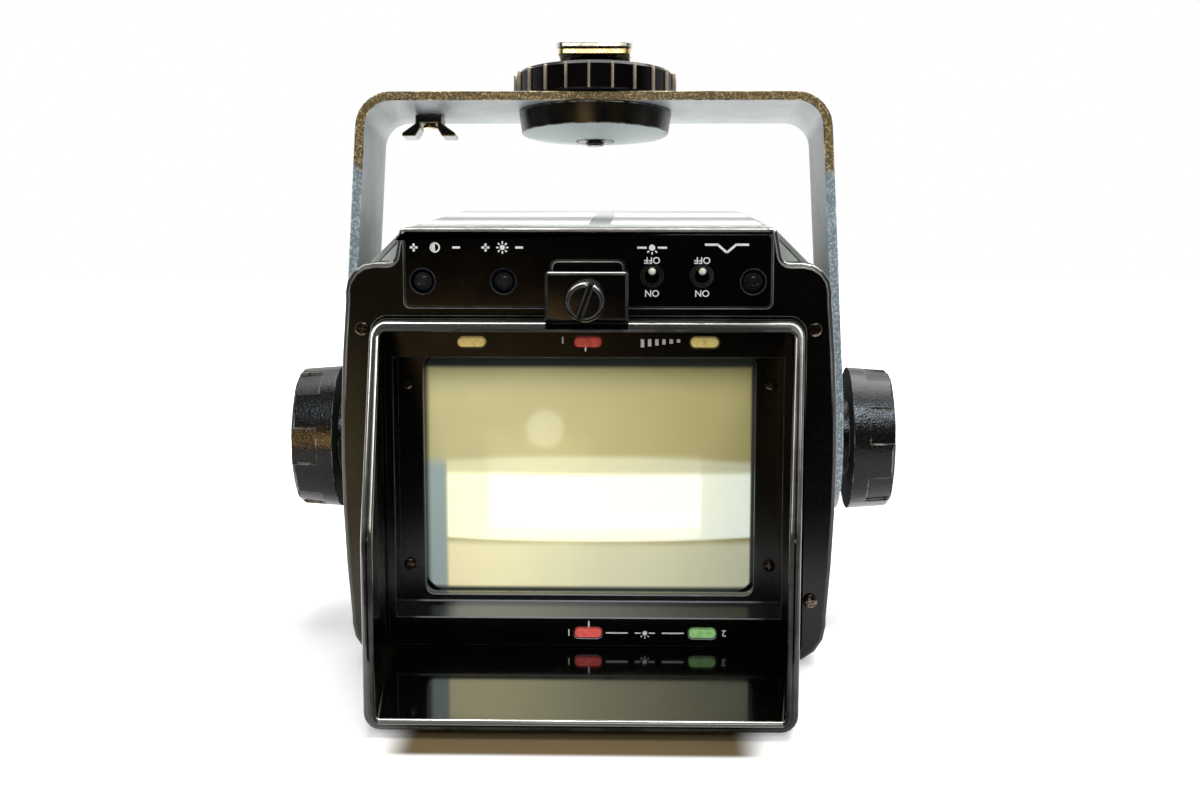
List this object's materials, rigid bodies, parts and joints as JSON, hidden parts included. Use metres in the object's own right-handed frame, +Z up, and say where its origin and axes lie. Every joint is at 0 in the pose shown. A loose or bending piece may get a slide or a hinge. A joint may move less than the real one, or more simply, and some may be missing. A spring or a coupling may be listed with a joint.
{
  "type": "electronic viewfinder",
  "caption": "Studio camera monochrome electronic viewfinder with a removable hood, recessed controls, tilt yoke with clamp knobs and a panning camera shoe.",
  "frame": {"origin": "on the table that the viewfinder stands on, straight below the tilt axis, in the cabinet's middle plane", "axes": "+Z up as it stands (the face it rests on is its top in use, so the shoe points up), -Y towards the viewer and out of the screen, +X to the viewer's right"},
  "size_m": [0.1946, 0.2346, 0.1882],
  "materials": {
    "frame_black": "semi-gloss black paint, worn at the edges",
    "cover_grey": "fine textured grey paint on sheet metal",
    "rear_black": "semi-gloss black paint",
    "bezel_black": "moulded black plastic",
    "lens_amber": "translucent amber lamp lens, unlit",
    "lens_red": "translucent red lamp lens, unlit",
    "lens_green": "translucent green lamp lens, unlit",
    "board_green": "circuit board with green solder mask",
    "panel_gloss": "glossy black control plate with white lettering",
    "pot_blue": "moulded component body",
    "adjuster_black": "slotted adjuster, matte",
    "switch_metal": "plated switch bush",
    "lever_white": "white moulded lever",
    "hood_black": "glossy black moulding with fine scratches",
    "thumb_black": "black moulded screw head",
    "yoke_paint": "dark grey paint, chipped along the strip's edges",
    "brass": "plain turned brass",
    "fibre": "brown pressed fibre",
    "knob_crinkle": "black moulded grip, scuffed",
    "steel": "bare machined steel",
    "flange_grey": "satin grey turned disc",
    "clip_black": "black moulded clip with worn toes",
    "wheel_black": "black moulded wheel, ribs worn brown",
    "tube_glass": "glossy glass over pale grey phosphor",
    "coil_copper": "varnished copper winding",
    "tray_aluminium": "plain sheet",
    "transformer_black": "potted transformer",
    "connector_metal": "plated connector shell",
    "screw_steel": "plated cross-head screw"
  },
  "bodies": {
    "housing": {"front_frame": "frame_black", "cabinet_shell": "cover_grey", "rear_panel": "rear_black", "screen_bezel": "bezel_black", "upper_amber_lens_left": "lens_amber", "upper_red_lens": "lens_red", "upper_amber_lens_right": "lens_amber", "lower_red_lens": "lens_red", "lower_green_lens": "lens_green", "upper_lamp_board": "board_green", "lower_lamp_board": "board_green", "control_panel": "panel_gloss", "contrast_potentiometer": "pot_blue", "bright_potentiometer": "pot_blue", "peaking_potentiometer": "pot_blue", "tally_switch_body": "switch_metal", "peaking_switch_body": "switch_metal", "control_board": "board_green", "pivot_boss_left": "brass", "pivot_boss_right": "brass", "picture_tube": "tube_glass", "tube_mount_plate": "steel", "tube_band": "steel", "deflection_coil": "coil_copper", "neck_socket_board": "board_green", "chassis_tray": "tray_aluminium", "main_board": "board_green", "flyback_transformer": "transformer_black", "rear_connector": "connector_metal", "frame_screw_1": "screw_steel", "frame_screw_2": "screw_steel", "frame_screw_3": "screw_steel", "frame_screw_4": "screw_steel", "bezel_screw_1": "screw_steel", "bezel_screw_2": "screw_steel", "bezel_screw_3": "screw_steel", "bezel_screw_4": "screw_steel"},
    "hood": {"hood_shell": "hood_black", "hood_lock_tab": "hood_black"},
    "hood_screw": {"hood_thumbscrew": "thumb_black"},
    "contrast_adjuster": {"contrast_knob": "adjuster_black"},
    "bright_adjuster": {"bright_knob": "adjuster_black"},
    "peaking_adjuster": {"peaking_knob": "adjuster_black"},
    "tally_toggle": {"tally_switch_lever": "lever_white"},
    "peaking_toggle": {"peaking_switch_lever": "lever_white"},
    "yoke": {"yoke_bracket": "yoke_paint", "friction_washer_left": "fibre", "friction_washer_right": "fibre", "swivel_flange": "flange_grey", "cable_clip": "clip_black", "clip_rivet": "brass"},
    "left_clamp": {"tilt_knob_left": "knob_crinkle", "tilt_stud_left": "steel"},
    "right_clamp": {"tilt_knob_right": "knob_crinkle", "tilt_stud_right": "steel"},
    "shoe": {"shoe_plate": "steel", "shoe_brass_pad": "brass", "swivel_centre_screw": "steel"},
    "shoe_lock": {"lock_wheel": "wheel_black"}
  },
  "joints": [
    {"name": "hood_slide", "type": "slide", "parent": "housing", "child": "hood", "axis": [0, -1, 0], "range_m": [0, 0.02]},
    {"name": "hood_screw_turn", "type": "hinge", "parent": "hood", "child": "hood_screw", "pos_m": [0, -0.0784, 0.1108], "axis": [0, -1, 0], "range_deg": [0, 720]},
    {"name": "contrast_turn", "type": "hinge", "parent": "housing", "child": "contrast_adjuster", "pos_m": [-0.0484, -0.0646, 0.1146], "axis": [0, -1, 0], "range_deg": [-150, 150]},
    {"name": "bright_turn", "type": "hinge", "parent": "housing", "child": "bright_adjuster", "pos_m": [-0.0247, -0.0646, 0.1146], "axis": [0, -1, 0], "range_deg": [-150, 150]},
    {"name": "peaking_turn", "type": "hinge", "parent": "housing", "child": "peaking_adjuster", "pos_m": [0.0482, -0.0646, 0.1146], "axis": [0, -1, 0], "range_deg": [-150, 150]},
    {"name": "tally_flip", "type": "hinge", "parent": "housing", "child": "tally_toggle", "pos_m": [0.0187, -0.0616, 0.1163], "axis": [1, 0, 0], "range_deg": [0, 24]},
    {"name": "peaking_flip", "type": "hinge", "parent": "housing", "child": "peaking_toggle", "pos_m": [0.0332, -0.0616, 0.1163], "axis": [1, 0, 0], "range_deg": [0, 24]},
    {"name": "yoke_tilt", "type": "hinge", "parent": "housing", "child": "yoke", "pos_m": [0, 0, 0.0582], "axis": [1, 0, 0], "range_deg": [-22, 42]},
    {"name": "left_clamp_turn", "type": "hinge", "parent": "housing", "child": "left_clamp", "pos_m": [-0.09, 0, 0.0582], "axis": [-1, 0, 0], "range_deg": [0, 360]},
    {"name": "right_clamp_turn", "type": "hinge", "parent": "housing", "child": "right_clamp", "pos_m": [0.09, 0, 0.0582], "axis": [1, 0, 0], "range_deg": [0, 360]},
    {"name": "shoe_pan", "type": "hinge", "parent": "yoke", "child": "shoe", "pos_m": [0, 0.01514, 0.16594], "axis": [0, 0.1392, 0.9903], "range_deg": [-90, 90]},
    {"name": "lock_wheel_turn", "type": "hinge", "parent": "yoke", "child": "shoe_lock", "pos_m": [0, 0.01653, 0.17584], "axis": [0, 0.1392, 0.9903], "range_deg": [0, 360]}
  ]
}
